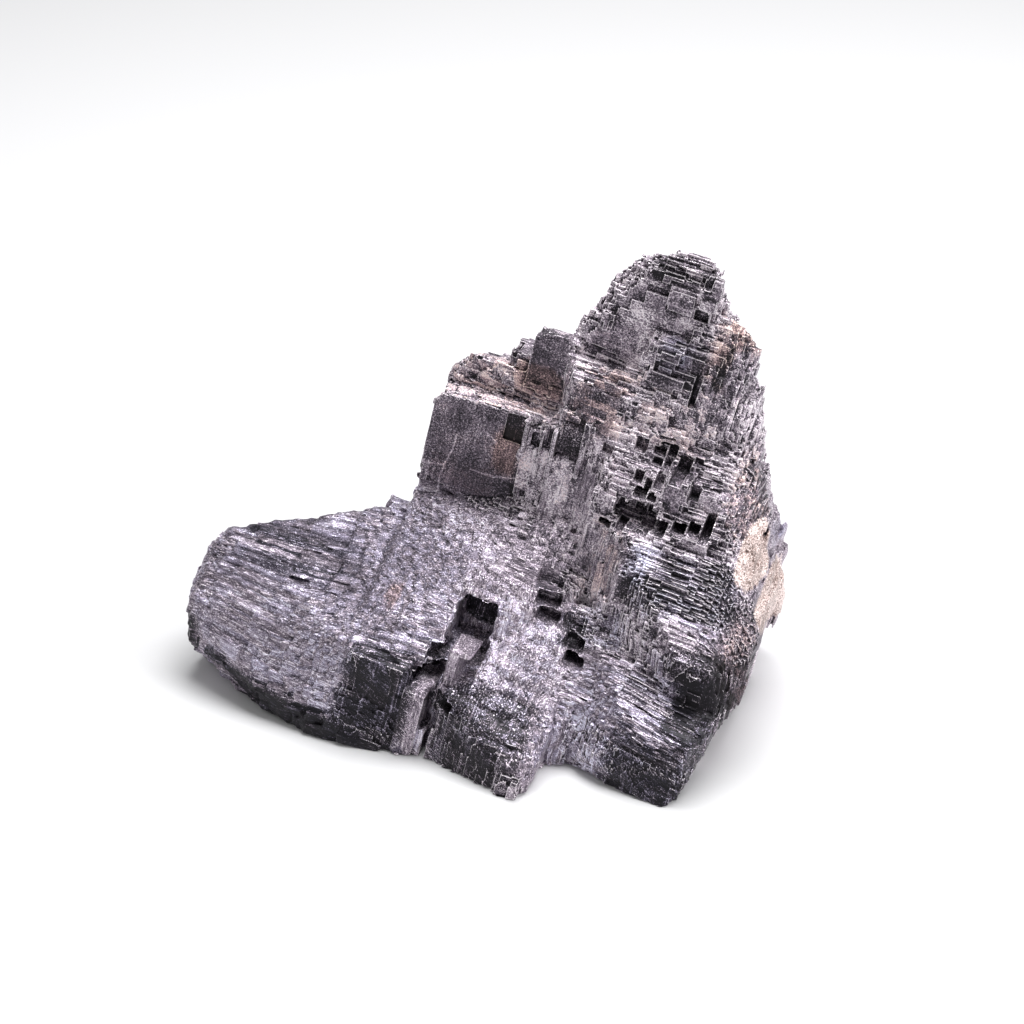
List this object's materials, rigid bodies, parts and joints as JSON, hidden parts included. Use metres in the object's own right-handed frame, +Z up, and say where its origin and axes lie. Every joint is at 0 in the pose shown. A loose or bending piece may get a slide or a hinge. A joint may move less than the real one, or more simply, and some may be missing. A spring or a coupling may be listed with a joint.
{
  "type": "galena specimen",
  "caption": "Lump of cleaved galena with a low striated lobe, a tall flat wall and a stepped ramp up to a peak, standing on its flattened underside.",
  "frame": {"origin": "below the middle of the lump's box, in the plane that it rests on", "axes": "+Z up, +X along the length from the low lobe to the peak, +Y from the stepped front to the broken back"},
  "size_m": [0.1486, 0.0924, 0.1106],
  "materials": {
    "galena": "satin"
  },
  "bodies": {
    "root": {"galena": "galena"}
  },
  "joints": []
}
